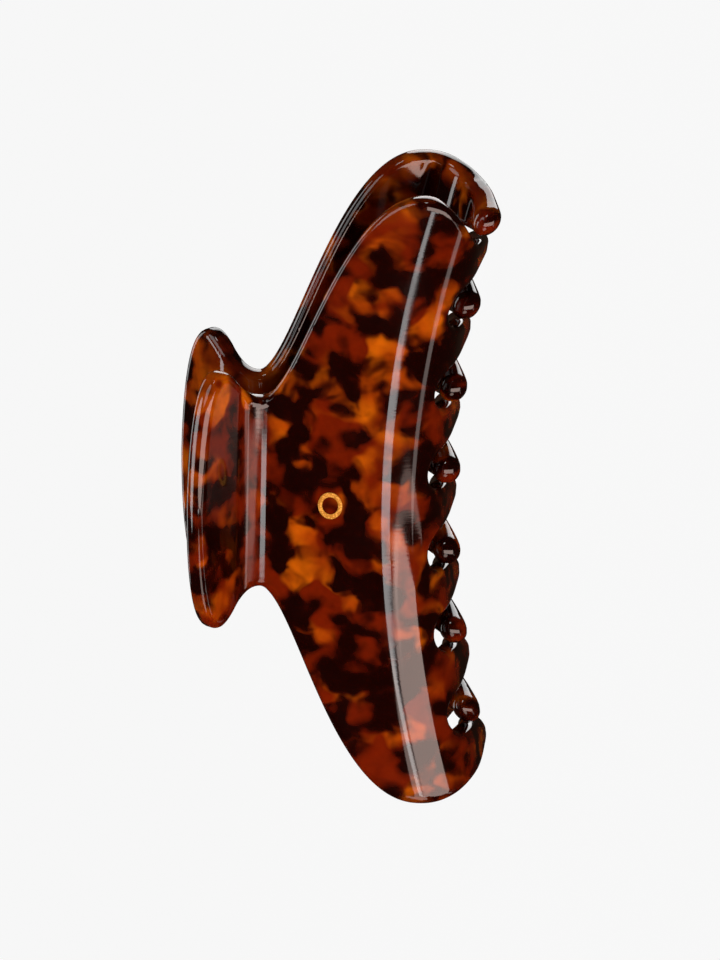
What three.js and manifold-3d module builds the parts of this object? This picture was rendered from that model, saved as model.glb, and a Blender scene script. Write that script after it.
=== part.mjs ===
// Claw clip for hair. Two jaws are cut from one pattern of acetate sheet, bent to shape and set facing
// each other, half a turn apart about the upright axis. They hinge on a steel pin through four bonded ears.
// Lengths are in millimetres. X runs along the pin, Z is up, and the jaws open along Y.
// The clip stands on its teeth, with the handles on top.
import * as THREE from "three";
import { mergeVertices } from "three/addons/utils/BufferGeometryUtils.js";
import Module from "manifold-3d";

const solids = await Module();
solids.setup();

const degree = Math.PI / 180;

// The sheet.
const sheetThickness = 4;
const edgeRounding = 1.3;

// Outline of one jaw.
const jawLength = 119;
const neckWidth = 37.2;
const handleWidth = 50.2;
const handleReach = 10.3; // flat part of the handle, from the neck bend to its free edge
const panelReach = 20.2; // flat part of the body at mid length, from the neck bend to the shoulder bend
const crescentRise = 8.8; // how much further down the body reaches at its two ends

// Bends, seen in a section across the hinge.
const neckGap = 10; // clear space between the two jaws at the neck
const neckBendRadius = 8.5;
const shoulderRadius = 9;
const toothRadius = 41;
const handleFlare = 47 * degree;
const panelFlare = 13 * degree;
const toothDip = 20 * degree; // how far below level the tooth points where the shoulder bend ends

// Teeth.
const toothCount = 7;
const toothRootWidth = 8.4;
const toothTipWidth = 5.6;
const toothRodThickness = 5.2; // the sheet swells to this where a tooth becomes a round rod
const toothRodLength = 8; // the sheet turns into the rod over this length behind the ball end
const toothLineInset = 11.5; // from the end of the jaw to the middle of the tooth row's last place
const toothShift = 3.7; // the row is this far off centre, so that the two rows pass each other
const notchDepthIntoShoulder = 9; // length of shoulder bend left whole above the notches

// Hinge.
const pinDiameter = 2.6;
const pinDrop = 2; // the pin is this far below the narrowest line of the neck
const runningGap = 0.3;
const earThickness = 3;
const earWall = 1.9; // acetate left round the hole of an ear
const earHoleDiameter = pinDiameter + 2 * runningGap;
const earRise = 4.3; // how far up the neck the bonded root of an ear reaches
const earDrop = 6; // and how far down
const capWall = 1;
const capDiameter = earHoleDiameter + 2 * capWall;
const capLength = 1.8;

// Spring.
const wireDiameter = 1.2;
const coilTurns = 8;
const coilPitch = 1.55;
const coilRadius = pinDiameter / 2 + runningGap + wireDiameter / 2 + 0.7;
const legSeat = 7; // how far up the flat of the handle the spring presses

// Foil mark on the front panel.
const foilWidth = 5.2;
const foilHeight = 4.6;
const foilLine = 0.8;
const foilThickness = 0.12;
const foilLift = 0.06;
const foilAlong = -1.3; // off the middle of the panel
const foilDown = 11.5; // below the neck bend, along the panel

const halfLength = jawLength / 2;
const halfSheet = sheetThickness / 2;
const neckDepth = neckGap / 2 + halfSheet;
const toothPitch = (jawLength - 2 * toothLineInset) / (toothCount - 1);

// Lengths along the middle of the sheet. Zero is the narrowest line of the neck, and down is positive.
const panelTop = neckBendRadius * panelFlare;
const handleBottom = -neckBendRadius * handleFlare;
const handleEdge = handleBottom - handleReach;
const shoulderStart = panelTop + panelReach;
const shoulderTurn = panelFlare + Math.PI / 2 - toothDip;
const shoulderEnd = shoulderStart + shoulderRadius * shoulderTurn;
const toothEnd = shoulderEnd + toothRadius * toothDip;
const notchTop = shoulderStart + notchDepthIntoShoulder;

// How much later the shoulder bend begins at a place along the jaw.
function crescent(x) {
  return crescentRise * (x / halfLength) ** 2;
}

// Middle of the sheet in section: depth out from the centre plane, height above the neck, outward normal.
function section(x, along) {
  const extra = crescent(x);
  if (along < handleBottom) {
    const run = handleBottom - along;
    return {
      depth: neckDepth + neckBendRadius * (1 - Math.cos(handleFlare)) + run * Math.sin(handleFlare),
      height: neckBendRadius * Math.sin(handleFlare) + run * Math.cos(handleFlare),
      tilt: -handleFlare,
    };
  }
  if (along < panelTop) {
    const turn = along / neckBendRadius;
    return {
      depth: neckDepth + neckBendRadius * (1 - Math.cos(turn)),
      height: -neckBendRadius * Math.sin(turn),
      tilt: turn,
    };
  }
  const run = Math.min(along - panelTop, panelReach + extra);
  const point = {
    depth: neckDepth + neckBendRadius * (1 - Math.cos(panelFlare)) + run * Math.sin(panelFlare),
    height: -neckBendRadius * Math.sin(panelFlare) - run * Math.cos(panelFlare),
    tilt: panelFlare,
  };
  const bent = along - extra - shoulderStart;
  if (bent > 0) bend(point, Math.min(bent, shoulderEnd - shoulderStart), shoulderRadius);
  const tooth = along - extra - shoulderEnd;
  if (tooth > 0) bend(point, tooth, toothRadius);
  return point;
}

// Carries a section point along an arc that curls inward.
function bend(point, length, radius) {
  const tilt = point.tilt - length / radius;
  point.depth += radius * (Math.cos(tilt) - Math.cos(point.tilt));
  point.height += radius * (Math.sin(tilt) - Math.sin(point.tilt));
  point.tilt = tilt;
}

// Row coordinate in which the bends of every column line up.
function row(x, along) {
  const extra = crescent(x);
  if (along <= panelTop) return along;
  const share = Math.min((along - panelTop) / (panelReach + extra), 1);
  return along - extra * share;
}

// Rounds the end of a tooth into a ball, and the stretch behind it into a rod. Takes and gives a row place.
function roundTooth(x, place, out) {
  const radius = toothTipWidth / 2;
  const ballAt = toothEnd - radius;
  const step = Math.min(Math.max((place - ballAt + toothRodLength) / (toothRodLength - 1), 0), 1);
  const share = step * step * (3 - 2 * step);
  if (share === 0) return { x, place, out };
  const middle = Math.round((x + toothShift) / toothPitch) * toothPitch - toothShift;
  const rootAt = notchTop + (toothPitch - toothRootWidth) / 2;
  const taper = Math.min(Math.max((ballAt - place) / (ballAt - rootAt), 0), 1);
  const halfWidth = radius + taper * (toothRootWidth / 2 - radius);
  const round = new THREE.Vector3(
    (x - middle) / halfWidth,
    out / halfSheet,
    Math.max(place - ballAt, 0) / radius,
  ).normalize();
  return {
    x: x + share * (middle + halfWidth * round.x - x),
    place: place > ballAt ? ballAt + radius * round.z : place,
    out: out + share * ((toothRodThickness / 2) * round.y - out),
  };
}

// Outline of the flat blank, as points of x and length down the sheet.
function blankOutline() {
  const half = neckWidth / 2;
  const lobe = handleWidth / 2;
  const lobeAt = handleEdge * 0.6;
  const cornerAt = shoulderStart + crescentRise - 0.8;
  const neckEase = neckWidth * 0.175;
  const corner = (end) => new THREE.Vector2(end * halfLength, cornerAt);
  const neck = (end) => new THREE.Vector2(end * half, 0);
  const swing = (end) =>
    new THREE.CubicBezierCurve(
      neck(end),
      new THREE.Vector2(end * half, neckEase),
      new THREE.Vector2(end * halfLength, cornerAt * 0.46),
      corner(end),
    ).getSpacedPoints(13);

  // Teeth are drawn with a straight root line, then carried down by the crescent.
  const down = (x, line) => new THREE.Vector2(x, line + crescent(x));
  const notchRadius = (toothPitch - toothRootWidth) / 2;
  const tipRadius = toothTipWidth / 2;
  const middle = (i) => ((toothCount - 1) / 2 - i) * toothPitch - toothShift;
  const sideAt = shoulderEnd + 1;
  const arcSteps = 5;
  const teeth = [];
  for (let i = 0; i < toothCount; i++) {
    for (let k = 0; k <= arcSteps; k++) {
      const turn = (k / arcSteps) * Math.PI;
      const x = middle(i) + tipRadius * Math.cos(turn);
      teeth.push(down(x, toothEnd - tipRadius + tipRadius * Math.sin(turn)));
    }
    if (i === toothCount - 1) break;
    for (let k = 0; k <= arcSteps; k++) {
      const turn = (k / arcSteps) * Math.PI;
      const x = middle(i) - toothPitch / 2 + notchRadius * Math.cos(turn);
      teeth.push(down(x, notchTop + notchRadius - notchRadius * Math.sin(turn)));
    }
  }
  const cornerTo = (end, side) => {
    const sideX = side + (end * toothRootWidth) / 2;
    const low = down(sideX, sideAt);
    return new THREE.CubicBezierCurve(
      corner(end),
      new THREE.Vector2(end * halfLength, cornerAt + (low.y - cornerAt) * 0.5),
      new THREE.Vector2(sideX + end * 0.2, cornerAt + (low.y - cornerAt) * 0.65),
      low,
    ).getSpacedPoints(7);
  };
  const lobeUp = (end) =>
    new THREE.CubicBezierCurve(
      neck(end),
      new THREE.Vector2(end * half, handleEdge * 0.25),
      new THREE.Vector2(end * lobe, handleEdge * 0.4),
      new THREE.Vector2(end * lobe, lobeAt),
    ).getPoints(6);
  const brow = (end) =>
    new THREE.CubicBezierCurve(
      new THREE.Vector2(end * lobe, lobeAt),
      new THREE.Vector2(end * lobe, handleEdge * 0.84),
      new THREE.Vector2(end * lobe * 0.68, handleEdge * 0.985),
      new THREE.Vector2(0, handleEdge),
    ).getPoints(8);

  const back = (points) => points.reverse();
  return [
    ...swing(1).slice(0, -1),
    ...cornerTo(1, middle(0)),
    ...teeth,
    ...back(cornerTo(-1, middle(toothCount - 1))).slice(0, -1),
    ...back(swing(-1)).slice(0, -1),
    ...lobeUp(-1).slice(0, -1),
    ...brow(-1).slice(0, -1),
    ...back(brow(1)).slice(0, -1),
    ...back(lobeUp(1)).slice(0, -1),
  ];
}

// Cuts every triangle of an indexed geometry along one level of a measure, and leaves it closed.
function splitAt(geometry, measure, level) {
  const place = Array.from(geometry.getAttribute("position").array);
  const value = [];
  const read = (i) => measure(place[3 * i], -place[3 * i + 1]) - level;
  for (let i = 0; i < place.length / 3; i++) value.push(Math.abs(read(i)) < 0.04 ? 0 : read(i));
  const made = new Map();
  const cut = (a, b) => {
    const key = Math.min(a, b) + "_" + Math.max(a, b);
    if (!made.has(key)) {
      const low = Math.min(a, b);
      const high = Math.max(a, b);
      const share = value[low] / (value[low] - value[high]);
      for (let c = 0; c < 3; c++) {
        place.push(place[3 * low + c] + share * (place[3 * high + c] - place[3 * low + c]));
      }
      made.set(key, place.length / 3 - 1);
    }
    return made.get(key);
  };
  const index = geometry.index.array;
  const faces = [];
  for (let i = 0; i < index.length; i += 3) {
    const loop = [];
    for (let k = 0; k < 3; k++) {
      const a = index[i + k];
      const b = index[i + ((k + 1) % 3)];
      loop.push(a);
      if (value[a] * value[b] < 0) loop.push(cut(a, b));
    }
    if (loop.length === 3) {
      faces.push(...loop);
      continue;
    }
    const above = loop.filter((j) => j >= value.length || value[j] >= 0);
    const below = loop.filter((j) => j >= value.length || value[j] <= 0);
    for (const side of [above, below]) {
      for (let k = 1; k + 1 < side.length; k++) faces.push(side[0], side[k], side[k + 1]);
    }
  }
  return new THREE.BufferGeometry()
    .setAttribute("position", new THREE.Float32BufferAttribute(place, 3))
    .setIndex(faces);
}

// The same solid with the points dropped that lie inside its flat faces.
function leanCopy(geometry) {
  const solidOf = (g) =>
    new solids.Manifold(
      new solids.Mesh({
        numProp: 3,
        vertProperties: new Float32Array(g.getAttribute("position").array),
        triVerts: new Uint32Array(g.index.array),
      }),
    );
  const around = new THREE.BoxGeometry(3 * jawLength, 3 * jawLength, 3 * jawLength);
  around.deleteAttribute("normal");
  around.deleteAttribute("uv");
  const mesh = solidOf(geometry).intersect(solidOf(mergeVertices(around))).getMesh();
  return new THREE.BufferGeometry()
    .setAttribute("position", new THREE.BufferAttribute(mesh.vertProperties, 3))
    .setIndex(new THREE.BufferAttribute(mesh.triVerts, 1));
}

// One jaw facing -Y, with the narrowest line of its neck at height zero.
function jawGeometry() {
  const flat = new THREE.ExtrudeGeometry(
    new THREE.Shape(blankOutline().map((p) => new THREE.Vector2(p.x, -p.y))),
    {
      depth: sheetThickness - 2 * edgeRounding,
      bevelThickness: edgeRounding,
      bevelSize: edgeRounding,
      bevelOffset: -edgeRounding,
      bevelSegments: 2,
      curveSegments: 1,
    },
  ).translate(0, 0, edgeRounding - halfSheet);
  flat.deleteAttribute("normal");
  flat.deleteAttribute("uv");
  let blank = mergeVertices(flat, 1e-4);
  const rows = [];
  const spread = (from, to, count) => {
    for (let i = 0; i < count; i++) rows.push(from + ((to - from) * i) / count);
  };
  spread(handleBottom, panelTop, 4);
  rows.push(panelTop);
  spread(shoulderStart, shoulderEnd, 6);
  spread(shoulderEnd, toothEnd - toothTipWidth / 2, 3);
  rows.push(toothEnd - toothTipWidth / 2);
  for (const level of rows) blank = splitAt(blank, row, level);
  const columns = 10;
  for (let i = 1; i < columns; i++) {
    const level = halfLength * ((2 * i) / columns - 1);
    blank = splitAt(blank, (x) => x, level);
  }
  const place = blank.getAttribute("position");
  for (let i = 0; i < place.count; i++) {
    const start = row(place.getX(i), -place.getY(i));
    const moved = start + place.getY(i);
    const tooth = roundTooth(place.getX(i), start, place.getZ(i));
    const point = section(place.getX(i), tooth.place - moved);
    const out = tooth.out;
    place.setXYZ(
      i,
      tooth.x,
      -(point.depth + out * Math.cos(point.tilt)),
      point.height + out * Math.sin(point.tilt),
    );
  }
  return leanCopy(blank);
}

// A plate with its outline given as points of depth out and height, between two places along X.
function plateAlongPin(shape, from, to) {
  const depth = to - from;
  const plate = new THREE.ExtrudeGeometry(shape, { depth, bevelEnabled: false, curveSegments: 14 });
  // The outline's plane is turned so that its X points to -Y and its Y up.
  const turn = new THREE.Matrix4().set(0, 0, -1, 0, -1, 0, 0, 0, 0, 1, 0, 0, 0, 0, 0, 1);
  return plate.applyMatrix4(turn).translate(to, 0, 0);
}

// An ear bonded inside the front jaw, with the hole for the pin.
function earGeometry(from, to) {
  const radius = earHoleDiameter / 2 + earWall;
  const shape = new THREE.Shape();
  const root = [];
  for (let i = 0; i <= 8; i++) {
    const along = earRise * (i / 8 - 1) + earDrop * (i / 8);
    const point = section(0, along);
    const inset = halfSheet + runningGap;
    root.push([point.depth - inset * Math.cos(point.tilt), point.height - inset * Math.sin(point.tilt)]);
  }
  shape.moveTo(...root[0]);
  for (const point of root.slice(1)) shape.lineTo(...point);
  shape.absarc(0, -pinDrop, radius, -0.42 * Math.PI, -1.58 * Math.PI, true);
  shape.closePath();
  const hole = new THREE.Path();
  hole.absarc(0, -pinDrop, earHoleDiameter / 2, 0, 2 * Math.PI, false);
  shape.holes.push(hole);
  return plateAlongPin(shape, from, to);
}

// A round rod or cup whose profile, of radius and place along the pin, is turned about the pin.
function turned(profile) {
  return new THREE.LatheGeometry(
    profile.map(([radius, place]) => new THREE.Vector2(radius, place)),
    24,
  )
    .rotateZ(-Math.PI / 2)
    .translate(0, 0, -pinDrop);
}

// Middle line of the spring wire: a leg on the rear handle, the coil, and a leg on the front handle.
// Each leg leaves the coil past the centre plane and runs straight to its seat on the handle.
function springLine() {
  const halfCoil = (coilTurns * coilPitch) / 2;
  const seat = section(0, handleBottom - legSeat);
  const inset = halfSheet + wireDiameter / 2 + runningGap;
  const seatDepth = seat.depth - inset * Math.cos(seat.tilt);
  const seatHeight = seat.height - inset * Math.sin(seat.tilt);
  const reach = Math.hypot(seatDepth, seatHeight + pinDrop);
  const leave = Math.atan2(seatHeight + pinDrop, seatDepth) + Math.acos(coilRadius / reach);
  const arrive = Math.PI - leave;
  const onCoil = (turn, place) =>
    new THREE.Vector3(place, coilRadius * Math.cos(turn), coilRadius * Math.sin(turn) - pinDrop);
  const leg = (end) => {
    const foot = onCoil(end > 0 ? arrive : leave, end * halfCoil);
    const tip = new THREE.Vector3(end * (halfCoil + wireDiameter / 4), -end * seatDepth, seatHeight);
    return [0.15, 0.5, 1].map((share) => foot.clone().lerp(tip, share));
  };
  const steps = coilTurns * 12;
  const sweep = coilTurns * 2 * Math.PI + arrive - leave;
  const coil = [];
  for (let i = 0; i <= steps; i++) {
    coil.push(onCoil(leave + (sweep * i) / steps, halfCoil * ((2 * i) / steps - 1)));
  }
  return new THREE.CatmullRomCurve3([...leg(-1).reverse(), ...coil, ...leg(1)], false, "centripetal");
}

function springGeometry() {
  const line = springLine();
  const wire = new THREE.Shape();
  wire.absarc(0, 0, wireDiameter / 2, 0, 2 * Math.PI, false);
  return new THREE.ExtrudeGeometry(wire, {
    steps: line.points.length + 12,
    extrudePath: line,
    bevelEnabled: false,
    curveSegments: 4,
  });
}

// A plain oval ring of foil, laid on the flat of the front panel.
function foilGeometry() {
  const ring = new THREE.Shape();
  ring.absellipse(0, 0, foilWidth / 2, foilHeight / 2, 0, 2 * Math.PI, false);
  const inner = new THREE.Path();
  inner.absellipse(0, 0, foilWidth / 2 - foilLine, foilHeight / 2 - foilLine, 0, 2 * Math.PI, false);
  ring.holes.push(inner);
  const at = section(foilAlong, panelTop + foilDown);
  const out = halfSheet + foilLift;
  return new THREE.ExtrudeGeometry(ring, { depth: foilThickness, bevelEnabled: false, curveSegments: 20 })
    .rotateX(Math.PI / 2 - at.tilt)
    .translate(
      foilAlong,
      -(at.depth + out * Math.cos(at.tilt)),
      at.height + out * Math.sin(at.tilt),
    );
}

const clip = new THREE.Group();
clip.name = "claw_clip";

function addPiece(name, geometry, look, halfTurn = false) {
  const piece = new THREE.Mesh(geometry, new THREE.MeshStandardMaterial(look));
  piece.name = name;
  if (halfTurn) piece.rotation.z = Math.PI;
  clip.add(piece);
}

const tortoiseshell = { color: "#7a2e0c", roughness: 0.16, metalness: 0 };
const amberAcetate = { color: "#9c4a12", roughness: 0.22, metalness: 0 };
const springSteel = { color: "#b9bbbe", roughness: 0.28, metalness: 1 };
const pinSteel = { color: "#c7c8ca", roughness: 0.2, metalness: 1 };
const goldFoil = { color: "#d9a94c", roughness: 0.3, metalness: 1 };

const jaw = jawGeometry();
addPiece("front_jaw", jaw, tortoiseshell);
addPiece("rear_jaw", jaw, tortoiseshell, true);

// The front ears stand next to the coil, and the rear ears outside them.
const frontEarFrom = (coilTurns * coilPitch) / 2 + wireDiameter / 2 + 3 * runningGap;
const frontEarTo = frontEarFrom + earThickness;
const rearEarFrom = frontEarTo + runningGap;
const rearEarTo = rearEarFrom + earThickness;
addPiece("front_ear_right", earGeometry(frontEarFrom, frontEarTo), amberAcetate);
addPiece("front_ear_left", earGeometry(-frontEarTo, -frontEarFrom), amberAcetate);
addPiece("rear_ear_right", earGeometry(-rearEarTo, -rearEarFrom), amberAcetate, true);
addPiece("rear_ear_left", earGeometry(rearEarFrom, rearEarTo), amberAcetate, true);

// The pin runs through all four ears, and a cap is pressed on each of its ends.
const capFrom = rearEarTo + runningGap;
const capTo = capFrom + capLength;
const pinEnd = capTo - capWall - runningGap;
const pinRadius = pinDiameter / 2;
addPiece(
  "hinge_pin",
  turned([
    [0, -pinEnd],
    [pinRadius - 0.3, -pinEnd],
    [pinRadius, -pinEnd + 0.3],
    [pinRadius, pinEnd - 0.3],
    [pinRadius - 0.3, pinEnd],
    [0, pinEnd],
  ]),
  pinSteel,
);
const capRadius = capDiameter / 2;
const capBore = earHoleDiameter / 2;
const capProfile = [
  [0, capTo - capWall],
  [capBore, capTo - capWall],
  [capBore, capFrom],
  [capRadius, capFrom],
  [capRadius, capTo - 0.5],
  [capRadius - 0.5, capTo],
  [0, capTo],
];
addPiece("pin_cap_right", turned(capProfile), pinSteel);
addPiece("pin_cap_left", turned(capProfile), pinSteel, true);
addPiece("spring", springGeometry(), springSteel);
addPiece("foil_mark", foilGeometry(), goldFoil);

// Height zero is the lowest point of the teeth.
jaw.computeBoundingBox();
clip.position.z = -jaw.boundingBox.min.z;

export default clip;
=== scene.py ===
import bpy
import bmesh
import math
from mathutils import Matrix, Vector


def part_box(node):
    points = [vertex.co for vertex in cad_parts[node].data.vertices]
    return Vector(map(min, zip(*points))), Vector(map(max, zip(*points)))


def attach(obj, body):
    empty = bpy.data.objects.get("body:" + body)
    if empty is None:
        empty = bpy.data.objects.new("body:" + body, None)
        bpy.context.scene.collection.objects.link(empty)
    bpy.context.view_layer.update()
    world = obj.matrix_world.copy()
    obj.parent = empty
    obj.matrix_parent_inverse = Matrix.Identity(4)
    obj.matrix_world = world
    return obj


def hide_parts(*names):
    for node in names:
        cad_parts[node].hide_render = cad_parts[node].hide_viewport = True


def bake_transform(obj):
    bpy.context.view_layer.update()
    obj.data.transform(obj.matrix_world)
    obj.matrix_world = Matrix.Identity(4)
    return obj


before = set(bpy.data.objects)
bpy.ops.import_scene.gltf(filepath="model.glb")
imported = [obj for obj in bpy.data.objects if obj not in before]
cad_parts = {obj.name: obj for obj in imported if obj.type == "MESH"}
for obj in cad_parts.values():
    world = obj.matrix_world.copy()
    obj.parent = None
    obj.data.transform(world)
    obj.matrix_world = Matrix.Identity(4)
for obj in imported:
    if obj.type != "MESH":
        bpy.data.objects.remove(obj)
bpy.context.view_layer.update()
mm = 0.001
tiny = 1e-9  # keeps a length from being zero where it divides
mergeDistance = 1e-6  # points this close are one point

# Heights are measured from the neck, which is a known distance above the pin.
pinLow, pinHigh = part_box("hinge_pin")
pinDrop = 2 * mm
neckHeight = (pinLow[2] + pinHigh[2]) / 2 + pinDrop
pinHeight = neckHeight - pinDrop

# The bent sheet, in millimetres and radians.
sheet = dict(
    thickness=4.0,
    length=119.0,
    neckWidth=37.2,
    handleWidth=50.2,
    handleReach=10.3,
    panelReach=20.2,
    crescentRise=8.8,
    neckGap=10.0,
    neckRadius=8.5,
    shoulderRadius=9.0,
    toothRadius=41.0,
    handleFlare=math.radians(47),
    panelFlare=math.radians(13),
    toothDip=math.radians(20),
    toothCount=7,
    rootWidth=8.4,
    tipWidth=5.6,
    rodThickness=5.2,
    rodLength=8.0,
    rodRamp=1.0,
    rowInset=11.5,
    rowShift=3.7,
    notchDepth=9.0,
)
halfLength = sheet["length"] / 2
halfSheet = sheet["thickness"] / 2
neckDepth = sheet["neckGap"] / 2 + halfSheet
toothPitch = (sheet["length"] - 2 * sheet["rowInset"]) / (sheet["toothCount"] - 1)
panelTop = sheet["neckRadius"] * sheet["panelFlare"]
handleBottom = -sheet["neckRadius"] * sheet["handleFlare"]
handleEdge = handleBottom - sheet["handleReach"]
shoulderStart = panelTop + sheet["panelReach"]
shoulderTurn = sheet["panelFlare"] + math.pi / 2 - sheet["toothDip"]
shoulderEnd = shoulderStart + sheet["shoulderRadius"] * shoulderTurn
toothEnd = shoulderEnd + sheet["toothRadius"] * sheet["toothDip"]
notchTop = shoulderStart + sheet["notchDepth"]


def crescent(x):
    # How much further the body reaches down at this distance from its middle.
    return sheet["crescentRise"] * (x / halfLength) ** 2


def curl(depth, height, tilt, length, radius):
    # Depth, height and tilt after a bend inward, this long and of this radius.
    turned = tilt - length / radius
    return (
        depth + radius * (math.cos(turned) - math.cos(tilt)),
        height + radius * (math.sin(turned) - math.sin(tilt)),
        turned,
    )


def section(x, row):
    # Depth, height and outward tilt of the middle of the sheet at a row.
    radius = sheet["neckRadius"]
    if row < handleBottom:
        run, flare = handleBottom - row, sheet["handleFlare"]
        return (
            neckDepth + radius * (1 - math.cos(flare)) + run * math.sin(flare),
            radius * math.sin(flare) + run * math.cos(flare),
            -flare,
        )
    if row < panelTop:
        turn = row / radius
        return neckDepth + radius * (1 - math.cos(turn)), -radius * math.sin(turn), turn
    flare = sheet["panelFlare"]
    share = min((row - panelTop) / sheet["panelReach"], 1)
    run = share * (sheet["panelReach"] + crescent(x))
    depth = neckDepth + radius * (1 - math.cos(flare)) + run * math.sin(flare)
    height = -radius * math.sin(flare) - run * math.cos(flare)
    tilt = flare
    if row > shoulderStart:
        bent = min(row, shoulderEnd) - shoulderStart
        depth, height, tilt = curl(depth, height, tilt, bent, sheet["shoulderRadius"])
    if row > shoulderEnd:
        depth, height, tilt = curl(depth, height, tilt, row - shoulderEnd, sheet["toothRadius"])
    return depth, height, tilt


def rowOf(x, along):
    # Row whose bends line up across the jaw, from the length along the sheet.
    if along <= panelTop:
        return along
    share = min((along - panelTop) / (sheet["panelReach"] + crescent(x)), 1)
    return along - crescent(x) * share


def smooth(low, high, value):
    t = min(max((value - low) / (high - low), 0), 1)
    return t * t * (3 - 2 * t)


def placed(x, row, out):
    # A point of the front jaw in the row frame, from its place in the flat sheet.
    depth, height, tilt = section(x, row)
    return Vector((
        x * mm,
        -(depth + out * math.cos(tilt)) * mm,
        neckHeight + (height + out * math.sin(tilt)) * mm,
    ))


def bezier(a, b, c, d, count):
    # Points along a curve from a to d, pulled toward b and c.
    points = []
    for i in range(count + 1):
        t = i / count
        s = 1 - t
        weights = (s ** 3, 3 * s * s * t, 3 * s * t * t, t ** 3)
        points.append(tuple(
            sum(weight * corner[k] for weight, corner in zip(weights, (a, b, c, d))) for k in (0, 1)
        ))
    return points


def evenly(points, step):
    # The closed line through these points, with new points the same distance apart.
    loop = points + [points[0]]
    lengths = [0.0]
    for a, b in zip(loop, loop[1:]):
        lengths.append(lengths[-1] + math.dist(a, b))
    count = round(lengths[-1] / step)
    made, at = [], 0
    for i in range(count):
        goal = lengths[-1] * i / count
        while lengths[at + 1] < goal:
            at += 1
        share = (goal - lengths[at]) / max(lengths[at + 1] - lengths[at], tiny)
        made.append(tuple(loop[at][k] + share * (loop[at + 1][k] - loop[at][k]) for k in (0, 1)))
    return made


def smoothMesh(bm, name):
    # The finished mesh, shaded smooth.
    for face in bm.faces:
        face.smooth = True
    mesh = bpy.data.meshes.new(name)
    bm.to_mesh(mesh)
    bm.free()
    return mesh


# The blank's outline: how far each curve's handles reach, as shares of its own length and width, and how
# finely it is drawn. Distances are in millimetres.
outlineShape = dict(
    swingStart=0.175,
    swingEnd=0.46,
    swingSteps=90,
    cornerRaise=0.8,
    cornerStart=0.5,
    cornerEnd=0.65,
    cornerSpread=0.2,
    cornerBelow=1,
    cornerSteps=30,
    lobeAt=0.6,
    lobeStart=0.25,
    lobeEnd=0.4,
    lobeSteps=30,
    browStart=0.84,
    browEnd=0.985,
    browWidth=0.68,
    browSteps=50,
    tipSteps=20,
    notchSteps=24,
    closest=0.05,
    step=0.6,
)


def jawOutline():
    # The blank's outline, as x and length along the sheet, once round.
    half, lobe = sheet["neckWidth"] / 2, sheet["handleWidth"] / 2
    shape = outlineShape
    lobeAt = handleEdge * shape["lobeAt"]
    cornerAt = shoulderStart + sheet["crescentRise"] - shape["cornerRaise"]
    count = sheet["toothCount"]
    middle = [((count - 1) / 2 - i) * toothPitch - sheet["rowShift"] for i in range(count)]
    tipRadius = sheet["tipWidth"] / 2
    notchRadius = (toothPitch - sheet["rootWidth"]) / 2

    def swing(end):
        return bezier(
            (end * half, 0), (end * half, sheet["neckWidth"] * shape["swingStart"]),
            (end * halfLength, cornerAt * shape["swingEnd"]), (end * halfLength, cornerAt),
            shape["swingSteps"],
        )

    def cornerTo(end, tooth):
        sideX = tooth + end * sheet["rootWidth"] / 2
        low = shoulderEnd + shape["cornerBelow"] + crescent(sideX)
        drop = low - cornerAt
        return bezier(
            (end * halfLength, cornerAt), (end * halfLength, cornerAt + drop * shape["cornerStart"]),
            (sideX + end * shape["cornerSpread"], cornerAt + drop * shape["cornerEnd"]), (sideX, low),
            shape["cornerSteps"],
        )

    def lobeUp(end):
        return bezier(
            (end * half, 0), (end * half, handleEdge * shape["lobeStart"]),
            (end * lobe, handleEdge * shape["lobeEnd"]), (end * lobe, lobeAt), shape["lobeSteps"],
        )

    def brow(end):
        return bezier(
            (end * lobe, lobeAt), (end * lobe, handleEdge * shape["browStart"]),
            (end * lobe * shape["browWidth"], handleEdge * shape["browEnd"]), (0, handleEdge),
            shape["browSteps"],
        )

    teeth = []
    for i, place in enumerate(middle):
        for k in range(shape["tipSteps"] + 1):
            turn = math.pi * k / shape["tipSteps"]
            x = place + tipRadius * math.cos(turn)
            teeth.append((x, toothEnd - tipRadius + tipRadius * math.sin(turn) + crescent(x)))
        if i == count - 1:
            break
        for k in range(shape["notchSteps"] + 1):
            turn = math.pi * k / shape["notchSteps"]
            x = place - toothPitch / 2 + notchRadius * math.cos(turn)
            teeth.append((x, notchTop + notchRadius - notchRadius * math.sin(turn) + crescent(x)))
    pieces = [
        swing(1), cornerTo(1, middle[0]), teeth, cornerTo(-1, middle[-1])[::-1], swing(-1)[::-1],
        lobeUp(-1), brow(-1), brow(1)[::-1], lobeUp(1)[::-1],
    ]
    line = []
    for piece in pieces:
        for point in piece:
            if not line or math.dist(point, line[-1]) > shape["closest"]:
                line.append(point)
    if math.dist(line[0], line[-1]) < shape["closest"]:
        line.pop()
    return evenly(line, shape["step"])


# How finely the jaws' sheet is rounded and cut, in millimetres. Rows lie closest where the sheet bends.
jawLook = dict(
    edge=1.45,
    edgeSteps=5,
    rimRing=0.45,
    columnStep=2.6,
    handleStep=2.5,
    handleStart=2,
    neckStep=0.45,
    panelStep=2.2,
    shoulderStep=0.5,
    toothStep=0.7,
    toothStop=0.4,
    bendGuard=0.2,
    cutTolerance=1e-4,
    capCorners=50,  # only the two flat faces of the blank have more
)


def cutThrough(bm, places, axis):
    # Cuts the whole mesh at each of these places along an axis of the flat sheet.
    normal = Vector([1.0 if i == axis else 0.0 for i in range(3)])
    for place in places:
        parts = bm.verts[:] + bm.edges[:] + bm.faces[:]
        bmesh.ops.bisect_plane(
            bm, geom=parts, dist=jawLook["cutTolerance"], plane_co=normal * place, plane_no=normal,
        )


def spread(low, high, step):
    count = max(round((high - low) / step), 1)
    return [low + (high - low) * i / count for i in range(count)]


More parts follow.
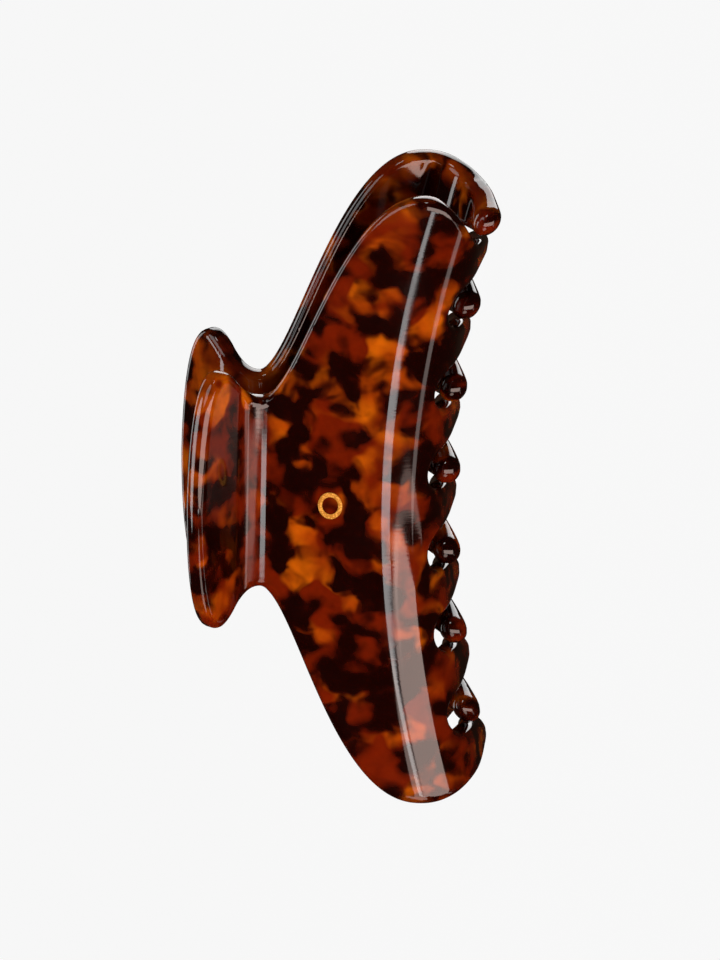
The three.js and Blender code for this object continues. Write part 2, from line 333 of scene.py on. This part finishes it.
def roundTooth(x, row, out):
    # A tooth ends in a ball, with a rod behind it. Takes and gives back a point's place in the sheet.
    radius = sheet["tipWidth"] / 2
    ballAt = toothEnd - radius
    share = smooth(ballAt - sheet["rodLength"], ballAt - sheet["rodRamp"], row)
    if share == 0:
        return x, row, out
    middle = round((x + sheet["rowShift"]) / toothPitch) * toothPitch - sheet["rowShift"]
    rootAt = notchTop + (toothPitch - sheet["rootWidth"]) / 2
    taper = min(max((ballAt - row) / (ballAt - rootAt), 0), 1)
    halfWidth = radius + taper * (sheet["rootWidth"] / 2 - radius)
    across, through, down = Vector(
        ((x - middle) / halfWidth, out / halfSheet, max(row - ballAt, 0) / radius)
    ).normalized()
    return (
        x + share * (middle + halfWidth * across - x),
        ballAt + radius * down if row > ballAt else row,
        out + share * (sheet["rodThickness"] / 2 * through - out),
    )


def jawMesh(name):
    # One jaw facing -Y. The blank is cut and rounded flat, then bent row by row.
    bm = bmesh.new()
    outline = jawOutline()
    bmesh.ops.create_circle(bm, cap_ends=True, radius=1, segments=len(outline))
    bm.verts.ensure_lookup_table()
    for vert, (x, along) in zip(bm.verts, outline):
        vert.co = (x, along, -halfSheet)
    made = bmesh.ops.extrude_face_region(bm, geom=bm.faces[:])
    for vert in [g for g in made["geom"] if isinstance(g, bmesh.types.BMVert)]:
        vert.co.z = halfSheet
    bmesh.ops.recalc_face_normals(bm, faces=bm.faces)
    rims = [e for e in bm.edges if abs(e.verts[0].co.z - e.verts[1].co.z) < mergeDistance]
    bmesh.ops.bevel(
        bm, geom=rims, offset=jawLook["edge"], segments=jawLook["edgeSteps"],
        profile=0.5, affect="EDGES", material=-1, clamp_overlap=False,
    )
    caps = [f for f in bm.faces if len(f.verts) > jawLook["capCorners"]]
    bmesh.ops.inset_region(bm, faces=caps, thickness=jawLook["rimRing"], use_even_offset=True)
    for vert in bm.verts:
        vert.co.y = rowOf(vert.co.x, vert.co.y)
    guard = jawLook["bendGuard"]
    rows = spread(handleEdge + jawLook["handleStart"], handleBottom, jawLook["handleStep"])
    rows += spread(handleBottom, panelTop, jawLook["neckStep"])
    rows += spread(panelTop, shoulderStart, jawLook["panelStep"])
    rows += spread(shoulderStart, shoulderEnd, jawLook["shoulderStep"])
    rows += [handleBottom - guard, panelTop + guard, shoulderStart - guard]
    rows += spread(shoulderEnd, toothEnd - jawLook["toothStop"], jawLook["toothStep"])
    cutThrough(bm, rows, 1)
    columns = spread(-halfLength + jawLook["columnStep"] / 2, halfLength, jawLook["columnStep"])
    cutThrough(bm, columns, 0)
    flatPlace = bm.verts.layers.float_vector.new("sheetPlace")
    for vert in bm.verts:
        x, row, out = vert.co
        vert[flatPlace] = Vector((x, row + crescent(x), out)) * mm
        vert.co = placed(*roundTooth(x, row, out))
    bmesh.ops.recalc_face_normals(bm, faces=bm.faces)
    return smoothMesh(bm, name)


def addObject(name, mesh):
    made = bpy.data.objects.new(name, mesh)
    bpy.context.scene.collection.objects.link(made)
    return made


def linear(hexColour):
    # An sRGB hex colour as linear red, green and blue.
    parts = [int(hexColour[i:i + 2], 16) / 255 for i in (1, 3, 5)]
    return [c / 12.92 if c <= 0.04045 else ((c + 0.055) / 1.055) ** 2.4 for c in parts] + [1.0]


def node(tree, kind, settings=None, **links):
    # Adds a shader node. Each link names an input, or numbers it as i0, i1 and so on, and its value is an
    # output socket or a plain value.
    made = tree.nodes.new("ShaderNode" + kind)
    for key, value in (settings or {}).items():
        setattr(made, key, value)
    for key, value in links.items():
        numbered = key[0] == "i" and key[1:].isdigit()
        spot = made.inputs[int(key[1:]) if numbered else key.replace("_", " ")]
        if isinstance(value, bpy.types.NodeSocket):
            tree.links.new(value, spot)
        else:
            spot.default_value = value
    return made


def ramp(tree, factor, stops, ease="EASE"):
    # A colour ramp; stops are (place, hex colour or grey level).
    made = node(tree, "ValToRGB", i0=factor)
    made.color_ramp.interpolation = ease
    elements = made.color_ramp.elements
    while len(elements) < len(stops):
        elements.new(0.5)
    for element, (place, tone) in zip(elements, stops):
        element.position = place
        element.color = linear(tone) if isinstance(tone, str) else (tone, tone, tone, 1)
    return made.outputs["Color"]


def newMaterial(name):
    material = bpy.data.materials.new(name)
    material.use_nodes = True
    tree = material.node_tree
    tree.nodes.clear()
    return material, tree


def rideOn(piece, body, slot, *nodes):
    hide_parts(*nodes)
    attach(piece, body)


# Cellulose acetate, cast from chips of several colours and tumble-polished: deep gloss, soft blotches that
# run through the sheet, and light glowing a little at the edges.
shell = dict(
    chipSize=5.0 * mm,
    chipWarp=2.4 * mm,
    cloudSize=11 * mm,
    grainSize=2.2 * mm,
    inkSize=5.4 * mm,
    amberLight="#C66407",
    amber="#A24405",
    redBrown="#6A1A02",
    brown="#3F0B01",
    ink="#160100",
    roughness=(0.03, 0.08),
    ior=1.49,
    glow=0.3,
    glowDepth=2.2 * mm,
    waveSize=16 * mm,
    waveDepth=0.05 * mm,
    scratchSize=0.5 * mm,  # real polishing marks are finer: drawn this coarse to show
    scratchDepth=0.002 * mm,
    scratchStretch=(1.0, 0.06, 1.0),
    scratchTurn=(0, 0, 0.6),
    hazeSize=9 * mm,
    hazeRange=(0.3, 0.7),
    pullSize=2.2,
    chipShare=0.34,
    glowSpread=(1.0, 0.22, 0.04),
    amberStops=(0.36, 0.47, 0.66),
    redStops=((0.33, 1.0), (0.66, 0.0)),
    brownStops=((0.57, 1.0), (0.82, 0.0)),
    inkStops=((0.54, 1.0), (0.72, 0.0)),
    grainStops=((0.3, 0.82), (0.7, 1.12)),
    shifts=dict(pull=0.31, clouds=0.17, ink=0.53, grain=0.71, haze=0.9, waves=0.2),
    shiftLean=0.7,
)


def tortoiseshell(name, offset, place="sheetPlace"):
    # The pattern follows an attribute of the mesh, or the object's own coordinates where place is None.
    material, tree = newMaterial(name)
    shifts = shell["shifts"]
    if place:
        start = node(tree, "Attribute", dict(attribute_name=place)).outputs["Vector"]
    else:
        start = node(tree, "TexCoord").outputs["Object"]
    at = node(tree, "Mapping", Vector=start, Location=offset).outputs["Vector"]

    def noise(size, detail, shift, rough=0.5, source=None):
        moved = node(
            tree, "Mapping", Vector=source or at, Location=(shift, shift * shell["shiftLean"], 0),
        ).outputs["Vector"]
        return node(tree, "TexNoise", Vector=moved, Scale=1 / size, Detail=detail, Roughness=rough)

    def blended(factor, first, second, **settings):
        return node(
            tree, "Mix", dict(data_type="RGBA", **settings), i0=factor, i6=first, i7=second,
        ).outputs[2]

    # Every chip's outline is pulled about, as the chips flow into each other in the press.
    pull = noise(shell["chipWarp"] * shell["pullSize"], 1.0, shifts["pull"])
    centred = node(
        tree, "VectorMath", dict(operation="SUBTRACT"), i0=pull.outputs["Color"], i1=(0.5, 0.5, 0.5),
    )
    pulled = node(
        tree, "VectorMath", dict(operation="SCALE"), i0=centred.outputs[0], Scale=shell["chipWarp"] * 2,
    )
    warped = node(tree, "VectorMath", dict(operation="ADD"), i0=at, i1=pulled.outputs[0]).outputs[0]

    chips = node(
        tree, "TexVoronoi", dict(feature="SMOOTH_F1"),
        Vector=warped, Scale=1 / shell["chipSize"], Smoothness=1.0, Randomness=1.0,
    )
    chip = node(tree, "SeparateColor", i0=chips.outputs["Color"])
    clouds = noise(shell["cloudSize"], 2.0, shifts["clouds"]).outputs[0]
    ambers = (shell["redBrown"], shell["amber"], shell["amberLight"])
    amber = ramp(tree, clouds, list(zip(shell["amberStops"], ambers)))
    redMask = ramp(tree, chip.outputs[0], shell["redStops"])
    toned = blended(redMask, amber, linear(shell["redBrown"]))
    inkField = noise(shell["inkSize"], 2.0, shifts["ink"], 0.45, warped).outputs[0]
    lean = node(
        tree, "Math", dict(operation="MULTIPLY_ADD"), i0=chip.outputs[1], i1=shell["chipShare"], i2=inkField,
    ).outputs[0]
    deep = blended(ramp(tree, lean, shell["brownStops"]), toned, linear(shell["brown"]))
    coloured = blended(ramp(tree, lean, shell["inkStops"]), deep, linear(shell["ink"]))
    grain = noise(shell["grainSize"], 3.0, shifts["grain"]).outputs[0]
    lift = ramp(tree, grain, shell["grainStops"], "LINEAR")
    final = blended(1.0, coloured, lift, blend_type="MULTIPLY")

    # The polish is not quite even, and the sheet has the slight waves of a tumbled surface.
    haze = node(
        tree, "MapRange", Value=noise(shell["hazeSize"], 3.0, shifts["haze"]).outputs[0],
        i1=shell["hazeRange"][0], i2=shell["hazeRange"][1],
        i3=shell["roughness"][0], i4=shell["roughness"][1],
    ).outputs[0]
    waves = node(
        tree, "Bump", Strength=1.0, Distance=shell["waveDepth"],
        Height=noise(shell["waveSize"], 1.0, shifts["waves"]).outputs[0],
    )
    stretched = node(
        tree, "Mapping", Vector=at, Scale=shell["scratchStretch"], Rotation=shell["scratchTurn"],
    ).outputs["Vector"]
    scratches = node(tree, "TexNoise", Vector=stretched, Scale=1 / shell["scratchSize"], Detail=2.0)
    fine = node(
        tree, "Bump", Strength=1.0, Distance=shell["scratchDepth"],
        Height=scratches.outputs[0], Normal=waves.outputs[0],
    )
    surface = node(
        tree, "BsdfPrincipled", Base_Color=final, Roughness=haze, IOR=shell["ior"], Normal=fine.outputs[0],
        Subsurface_Weight=shell["glow"], Subsurface_Scale=shell["glowDepth"],
        Subsurface_Radius=shell["glowSpread"],
    )
    node(tree, "OutputMaterial", Surface=surface.outputs[0])
    return material


print("jaws")
frontMesh = jawMesh("frontJaw")
rearMesh = frontMesh.copy()
rearMesh.name = "rearJaw"
rearMesh.transform(Matrix.Rotation(math.pi, 4, "Z"))
frontShell = addObject("frontShell", frontMesh)
rearShell = addObject("rearShell", rearMesh)
frontMesh.materials.append(tortoiseshell("polishedAcetateFront", (0.31, 0.12, 0.05)))
rearMesh.materials.append(tortoiseshell("polishedAcetateRear", (0.74, 0.43, 0.21)))
rideOn(frontShell, "front", "tortoiseshell_acetate", "front_jaw")
rideOn(rearShell, "rear", "tortoiseshell_acetate", "rear_jaw")

# Hinge ears, cut from acetate of the same kind and bonded inside the necks.
ears = dict(edge=0.35 * mm, edgeSteps=3, sharp=math.radians(35), flatAngle=0.02)


def roundedCopy(name, source, settings):
    # A copy of a frame piece, with its loose triangles merged and its sharp edges rounded.
    bm = bmesh.new()
    bm.from_mesh(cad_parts[source].data)
    bmesh.ops.remove_doubles(bm, verts=bm.verts, dist=mergeDistance)
    bmesh.ops.dissolve_limit(bm, angle_limit=settings["flatAngle"], verts=bm.verts, edges=bm.edges)
    edges = [e for e in bm.edges if len(e.link_faces) == 2 and e.calc_face_angle() > settings["sharp"]]
    bmesh.ops.bevel(
        bm, geom=edges, offset=settings["edge"], segments=settings["edgeSteps"],
        profile=0.5, affect="EDGES", material=-1, clamp_overlap=True,
    )
    return smoothMesh(bm, name)


print("ears")
earMaterial = tortoiseshell("polishedAcetateEar", (0.05, 0.02, 0.4), None)
for source, body in (
    ("front_ear_right", "front"), ("front_ear_left", "front"),
    ("rear_ear_right", "rear"), ("rear_ear_left", "rear"),
):
    mesh = roundedCopy(source + "Mesh", source, ears)
    mesh.materials.append(earMaterial)
    rideOn(addObject(source + "_rounded", mesh), body, "ear_acetate", source)

# The steel pin and its pressed caps, spun about the pin's axis.
pin = dict(radius=1.3 * mm, chamfer=0.3 * mm, chamferSteps=4, steps=64)
cap = dict(
    wall=1.0 * mm, radius=2.6 * mm, bore=1.6 * mm, lip=0.25 * mm, lipSteps=4, dome=0.45 * mm, domeSteps=6,
    domeStop=math.pi / 6, crown=0.03 * mm, crownShare=0.45, steps=72,
)
pinCentre = Vector((0, 0, pinHeight))


def spunPiece(name, profile, steps):
    # A closed round piece from its profile of distances along the pin and radii.
    bm = bmesh.new()
    points = [bm.verts.new((along, 0, pinHeight + radius)) for along, radius in profile]
    edges = [bm.edges.new(pair) for pair in zip(points, points[1:])]
    bmesh.ops.spin(
        bm, geom=points + edges, cent=pinCentre, axis=(1, 0, 0), angle=2 * math.pi, steps=steps,
        use_merge=True,
    )
    bmesh.ops.remove_doubles(bm, verts=bm.verts, dist=mergeDistance)
    bmesh.ops.recalc_face_normals(bm, faces=bm.faces)
    return smoothMesh(bm, name)


def arc(centre, radius, start, stop, count):
    # Places along the pin and radii on part of a round.
    turns = [start + (stop - start) * i / count for i in range(count + 1)]
    return [(centre[0] + radius * math.cos(t), centre[1] + radius * math.sin(t)) for t in turns]


# Polished stainless steel, ground then buffed: sharp reflections with faint rings round the axis. The rings
# are drawn coarser than real turning marks, so that they show.
steel = dict(
    colour="#C9CACC", dull="#A6A7A8", roughness=(0.12, 0.24), smudgeSize=1.6 * mm, smudgeRange=(0.3, 0.7),
    dullFrom=0.75, ringPitch=0.22 * mm, ringDepth=0.004 * mm,
)
# A wave texture of scale 1 repeats every 0.314 of a metre.
waveRepeat = 0.314


def turnedSteel(name, settings):
    material, tree = newMaterial(name)
    place = node(tree, "TexCoord").outputs["Object"]
    rings = node(
        tree, "TexWave", dict(bands_direction="X"), Vector=place,
        Scale=waveRepeat / settings["ringPitch"], Distortion=0.6, Detail=2.0,
    )
    smudge = node(tree, "TexNoise", Vector=place, Scale=1 / settings["smudgeSize"], Detail=3.0)
    clean, worn = settings["smudgeRange"]
    rough = node(
        tree, "MapRange", Value=smudge.outputs[0],
        i1=clean, i2=worn, i3=settings["roughness"][0], i4=settings["roughness"][1],
    )
    stops = [(clean, settings["colour"]), (settings["dullFrom"], settings["dull"])]
    tint = ramp(tree, smudge.outputs[0], stops)
    bump = node(tree, "Bump", Strength=1.0, Distance=settings["ringDepth"], Height=rings.outputs[1])
    surface = node(
        tree, "BsdfPrincipled", Base_Color=tint, Metallic=1.0, Roughness=rough.outputs[0],
        Normal=bump.outputs[0],
    )
    node(tree, "OutputMaterial", Surface=surface.outputs[0])
    return material


print("pin and caps")
steelMaterial = turnedSteel("buffedSteel", steel)
capLow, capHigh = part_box("pin_cap_right")
pinEnd = pinHigh[0]
flat = pin["radius"] - pin["chamfer"]
pinProfile = [(-pinEnd, 0)]
pinProfile += arc(
    (-pinEnd + pin["chamfer"], flat), pin["chamfer"], math.pi, math.pi / 2, pin["chamferSteps"],
)
pinProfile += arc((pinEnd - pin["chamfer"], flat), pin["chamfer"], math.pi / 2, 0, pin["chamferSteps"])
pinProfile += [(pinEnd, 0)]
pinMesh = spunPiece("pinMesh", pinProfile, pin["steps"])
pinMesh.materials.append(steelMaterial)
rideOn(addObject("turnedPin", pinMesh), "rear", "pin_steel", "hinge_pin")

outer, inner = capHigh[0], capLow[0]
capProfile = [(outer - cap["wall"], 0), (outer - cap["wall"], cap["bore"]), (inner, cap["bore"])]
capProfile += arc(
    (inner + cap["lip"], cap["radius"] - cap["lip"]), cap["lip"], math.pi, math.pi / 2, cap["lipSteps"],
)
capProfile += arc(
    (outer - cap["dome"], cap["radius"] - cap["dome"]), cap["dome"], math.pi / 2, cap["domeStop"],
    cap["domeSteps"],
)
capProfile += [(outer - cap["crown"], cap["radius"] * cap["crownShare"]), (outer, 0)]
for side, source in ((1, "pin_cap_right"), (-1, "pin_cap_left")):
    mesh = spunPiece(source + "Mesh", [(side * along, radius) for along, radius in capProfile], cap["steps"])
    mesh.materials.append(steelMaterial)
    rideOn(addObject(source + "_domed", mesh), "rear", "pin_steel", source)

# The torsion spring: a wire ring spun into the coil, then drawn out into its two legs. It is cold-drawn
# spring steel wire, greyer and duller than the pin, with faint bands drawn coarser than real ones.
spring = dict(
    wire=1.2 * mm, coil=2.9 * mm, turns=8, pitch=1.55 * mm, ringSteps=16, turnSteps=40,
    seat=7.0, gap=0.3, legShares=(0.04, 0.06, 0.1, 0.2, 0.2, 0.2, 0.16), endRings=((0.86, 0.1), (0.5, 0.08)),
    endLean=0.25, colour="#B9BBBE", dull="#8E9093", roughness=(0.2, 0.38), smudgeSize=1.6 * mm,
    smudgeRange=(0.3, 0.7), dullFrom=0.75, ringPitch=0.3 * mm, ringDepth=0.003 * mm,
)


def drawOut(bm, edges):
    # Extrudes an open ring of edges, and gives its new points and its new open edges.
    drawn = bmesh.ops.extrude_edge_only(bm, edges=edges)["geom"]
    points = [g for g in drawn if isinstance(g, bmesh.types.BMVert)]
    made = [g for g in drawn if isinstance(g, bmesh.types.BMEdge) and all(v in points for v in g.verts)]
    return points, [e for e in made if len(e.link_faces) == 1]


def springMesh():
    radius = spring["wire"] / 2
    depth, height, tilt = section(0, handleBottom - spring["seat"])
    inset = halfSheet + radius / mm + spring["gap"]
    seatDepth = (depth - inset * math.cos(tilt)) * mm
    seatHeight = (height - inset * math.sin(tilt)) * mm + pinDrop
    reach = math.hypot(seatDepth, seatHeight)
    leave = math.atan2(seatHeight, seatDepth) + math.acos(spring["coil"] / reach)
    sweep = 2 * math.pi * spring["turns"] + math.pi - 2 * leave
    half = spring["turns"] * spring["pitch"] / 2
    steps = spring["turns"] * spring["turnSteps"]

    def onCoil(turn, place):
        across, up = spring["coil"] * math.cos(turn), spring["coil"] * math.sin(turn)
        return Vector((place, across, up + pinHeight))

    bm = bmesh.new()
    made = bmesh.ops.create_circle(bm, radius=radius, segments=spring["ringSteps"])
    # The ring stands across the wire where the coil begins.
    stand = Matrix.Translation(onCoil(leave, -half)) @ Matrix.Rotation(leave, 4, "X")
    bmesh.ops.transform(bm, matrix=stand, verts=made["verts"])
    firstRing = made["verts"]
    ringEdges = list({e for v in firstRing for e in v.link_edges})
    turned = bmesh.ops.spin(
        bm, geom=firstRing + ringEdges, cent=pinCentre, axis=(1, 0, 0), dvec=(2 * half / steps, 0, 0),
        angle=sweep, steps=steps, use_merge=False,
    )
    lastEdges = [g for g in turned["geom_last"] if isinstance(g, bmesh.types.BMEdge)]
    for edges, end in ((ringEdges, -1), (lastEdges, 1)):
        foot = onCoil(leave if end < 0 else math.pi - leave, end * half)
        tipPlace = end * (half + spring["wire"] * spring["endLean"])
        tip = Vector((tipPlace, -end * seatDepth, seatHeight + pinHeight))
        length = (tip - foot).length
        along = (tip - foot).normalized()
        for share in spring["legShares"]:
            points, edges = drawOut(bm, edges)
            bmesh.ops.translate(bm, verts=points, vec=along * length * share)
        # The cut end of the wire is rounded over.
        for grow, step in spring["endRings"]:
            points, edges = drawOut(bm, edges)
            middle = sum((v.co for v in points), Vector()) / len(points)
            for v in points:
                v.co = middle + (v.co - middle) * grow + along * spring["wire"] * step
        bmesh.ops.contextual_create(bm, geom=edges)
    bmesh.ops.remove_doubles(bm, verts=bm.verts, dist=mergeDistance / 10)
    bmesh.ops.recalc_face_normals(bm, faces=bm.faces)
    return smoothMesh(bm, "springMesh"), half


print("spring")
wireMesh, coilHalf = springMesh()
wireMesh.materials.append(turnedSteel("drawnSpringWire", spring))
springPiece = addObject("woundSpring", wireMesh)
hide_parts("spring")
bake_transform(springPiece)

# A plain oval ring of hot-stamped gold foil, lying on the panel: a soft metal sheen that the grain of the
# stamp breaks up. The grain is drawn coarser than real, so that it shows.
foil = dict(
    width=5.2, height=4.6, line=0.8, thickness=0.12, lift=0.05, along=-1.3, down=11.5, steps=96,
    edge=0.045, edgeSteps=3, sharp=1, colour="#F0C060", dull="#C8913C", tintStops=(0.1, 0.7),
    roughness=(0.5, 0.7), roughStop=0.8, grainSize=0.35 * mm, grainDepth=0.03 * mm,
)


def foilMesh():
    bm = bmesh.new()
    bmesh.ops.create_circle(bm, cap_ends=True, radius=foil["height"] / 2, segments=foil["steps"])
    bmesh.ops.inset_region(
        bm, faces=bm.faces[:], thickness=foil["line"], use_even_offset=True, use_boundary=True,
    )
    bmesh.ops.delete(bm, geom=[f for f in bm.faces if len(f.verts) > 4], context="FACES")
    stretch = foil["width"] / foil["height"]
    bmesh.ops.scale(bm, vec=(stretch, 1, 1), verts=bm.verts)
    made = bmesh.ops.extrude_face_region(bm, geom=bm.faces[:])
    raised = [g for g in made["geom"] if isinstance(g, bmesh.types.BMVert)]
    bmesh.ops.translate(bm, verts=raised, vec=(0, 0, foil["thickness"]))
    bmesh.ops.recalc_face_normals(bm, faces=bm.faces)
    rims = [e for e in bm.edges if all(v.co.z > foil["thickness"] / 2 for v in e.verts)
            and e.calc_face_angle(0) > foil["sharp"]]
    bmesh.ops.bevel(
        bm, geom=rims, offset=foil["edge"], segments=foil["edgeSteps"],
        profile=0.5, affect="EDGES", material=-1, clamp_overlap=True,
    )
    for vert in bm.verts:
        x = foil["along"] + vert.co.x
        row = rowOf(x, panelTop + foil["down"] - vert.co.y)
        vert.co = placed(x, row, halfSheet + foil["lift"] + vert.co.z)
    bmesh.ops.recalc_face_normals(bm, faces=bm.faces)
    return smoothMesh(bm, "foilMesh")


def stampedFoil(name):
    material, tree = newMaterial(name)
    place = node(tree, "TexCoord").outputs["Object"]
    grain = node(tree, "TexVoronoi", Vector=place, Scale=1 / foil["grainSize"], Randomness=1.0)
    tint = ramp(tree, grain.outputs[0], list(zip(foil["tintStops"], (foil["colour"], foil["dull"]))))
    rough = node(
        tree, "MapRange", Value=grain.outputs[0],
        i1=0.0, i2=foil["roughStop"], i3=foil["roughness"][0], i4=foil["roughness"][1],
    )
    bump = node(tree, "Bump", Strength=1.0, Distance=foil["grainDepth"], Height=grain.outputs[0])
    surface = node(
        tree, "BsdfPrincipled", Base_Color=tint, Metallic=1.0, Roughness=rough.outputs[0],
        Normal=bump.outputs[0],
    )
    node(tree, "OutputMaterial", Surface=surface.outputs[0])
    return material


print("foil mark")
ringMesh = foilMesh()
ringMesh.materials.append(stampedFoil("stampedGoldFoil"))
rideOn(addObject("foilRing", ringMesh), "front", "gold_foil", "foil_mark")

# Stage: the camera sees a plain paper floor, matt and evenly pale, and air of the same tone. The clip sees
# dim warm air.
stage = dict(
    pale="#F8F8F8", air="#FFC9A8", roomStrength=0.03,
    floorSize=60.0, floorPaint="#141414", floorRoughness=0.9, floorGlow=0.99,
)


def paleFloor():
    bm = bmesh.new()
    bmesh.ops.create_grid(bm, x_segments=1, y_segments=1, size=stage["floorSize"] / 2)
    mesh = bpy.data.meshes.new("floorMesh")
    bm.to_mesh(mesh)
    bm.free()
    floor = addObject("floor", mesh)
    material, tree = newMaterial("palePaperFloor")
    surface = node(
        tree, "BsdfPrincipled", Base_Color=linear(stage["floorPaint"]), Roughness=stage["floorRoughness"],
        Emission_Color=linear(stage["pale"]), Emission_Strength=stage["floorGlow"],
    )
    surface.inputs["Specular IOR Level"].default_value = 0.0
    node(tree, "OutputMaterial", Surface=surface.outputs[0])
    mesh.materials.append(material)
    # Light from below passes the floor, and the polish doesn't mirror it.
    floor.visible_shadow = False
    floor.visible_glossy = False
    floor.visible_diffuse = False


def paleRoom():
    world = bpy.data.worlds.new("paleRoom")
    bpy.context.scene.world = world
    world.use_nodes = True
    tree = world.node_tree
    tree.nodes.clear()
    seen = node(tree, "Background", Color=linear(stage["pale"]), Strength=1.0)
    dim = node(tree, "Background", Color=linear(stage["air"]), Strength=stage["roomStrength"])
    path = node(tree, "LightPath")
    straight = path.outputs["Is Camera Ray"]
    mixed = node(tree, "MixShader", i0=straight, i1=dim.outputs[0], i2=seen.outputs[0])
    node(tree, "OutputWorld", Surface=mixed.outputs[0])


def towardLight(swing, lift):
    # A direction from the clip: swing toward +X from straight in front, and lift above level.
    swing, lift = math.radians(swing), math.radians(lift)
    ahead = math.cos(swing)
    return Vector((math.sin(swing), -ahead * math.cos(lift), ahead * math.sin(lift)))


def addLight(name, radiance, start, end, depth, distance=1.5, shape="ELLIPSE", colour="#FFFFFF"):
    # A soft box of even brightness. It reaches from one direction to another, both (swing, lift) seen from
    # the clip, and is this deep across.
    first, last = towardLight(*start) * distance, towardLight(*end) * distance
    middle = (first + last) / 2
    width = (last - first).length
    data = bpy.data.lights.new(name, "AREA")
    data.shape = shape
    data.size, data.size_y = width, depth
    filled = math.pi / 4 if shape == "ELLIPSE" else 1.0
    data.energy = radiance * math.pi * width * depth * filled
    data.color = linear(colour)[:3]
    made = bpy.data.objects.new(name, data)
    bpy.context.scene.collection.objects.link(made)
    side = (last - first).normalized()
    back = (middle - side * middle.dot(side)).normalized()
    turned = Matrix((side, back.cross(side), back)).transposed().to_4x4()
    made.matrix_world = Matrix.Translation(Vector((0, 0, neckHeight)) + middle) @ turned
    made.visible_camera = False


# The shoulder, body, neck, valley and rim boxes make the bright bands of the near jaw. The rest fill in.
lightBoxes = dict(
    shoulderBox=dict(
        radiance=6.0, start=(-19, -14.5), end=(8, -14.5), depth=1.95, shape="RECTANGLE", colour="#FFE3D8",
    ),
    shoulderLine=dict(
        radiance=2.3, start=(-19, -47), end=(-34, -69), depth=0.12, shape="RECTANGLE", colour="#FFEDE6",
    ),
    bodyBox=dict(radiance=3.6, start=(-23, 4), end=(-54, 4), depth=0.13, distance=0.35, colour="#FFE3D8"),
    neckLine=dict(radiance=6, start=(-19.2, 4), end=(-21.2, 4), depth=0.40, shape="RECTANGLE"),
    valleyBox=dict(radiance=2.3, start=(-19.2, -38), end=(-21.2, -38), depth=1.7, colour="#FFDDD0"),
    topRim=dict(radiance=7, start=(54, 24), end=(68, 18), depth=0.22),
    keyBox=dict(radiance=2.5, start=(12, 62), end=(48, 50), depth=0.9),
    leftBox=dict(radiance=5, start=(-24, 82), end=(16, 82), depth=0.3),
    backBox=dict(radiance=2.5, start=(30, 125), end=(-30, 125), depth=0.6),
    backShoulder=dict(radiance=3.0, start=(40, 195), end=(5, 195), depth=1.0),
)

print("floor, room and lights")
paleFloor()
paleRoom()
for name, box in lightBoxes.items():
    addLight(name, **box)

# The camera looks at the front jaw with the hinge upright in the image. Aims are in millimetres.
view = dict(
    swing=20.0, lift=3.0, roll=1.1, distance=1.870, lens=377.0, aimRight=18.68, aimDown=0.52, farthest=200,
)


def addCamera():
    swing, lift, roll = (math.radians(view[key]) for key in ("swing", "lift", "roll"))
    forward = Vector((
        -math.sin(swing), math.cos(swing) * math.cos(lift), -math.cos(swing) * math.sin(lift),
    ))
    right = Vector((0, -math.sin(lift), -math.cos(lift)))
    up = right.cross(forward)
    rolledRight = right * math.cos(roll) + up * math.sin(roll)
    rolledUp = up * math.cos(roll) - right * math.sin(roll)
    data = bpy.data.cameras.new("camera")
    data.lens = view["lens"]
    data.clip_end = view["farthest"]
    camera = bpy.data.objects.new("camera", data)
    bpy.context.scene.collection.objects.link(camera)
    aim = (rolledRight * view["aimRight"] - rolledUp * view["aimDown"]) * mm
    target = Vector((0, 0, neckHeight)) + aim
    turned = Matrix((rolledRight, rolledUp, -forward)).transposed().to_4x4()
    camera.matrix_world = Matrix.Translation(target - forward * view["distance"]) @ turned
    bpy.context.scene.camera = camera


print("camera")
addCamera()
bpy.context.scene.view_settings.view_transform = "Standard"
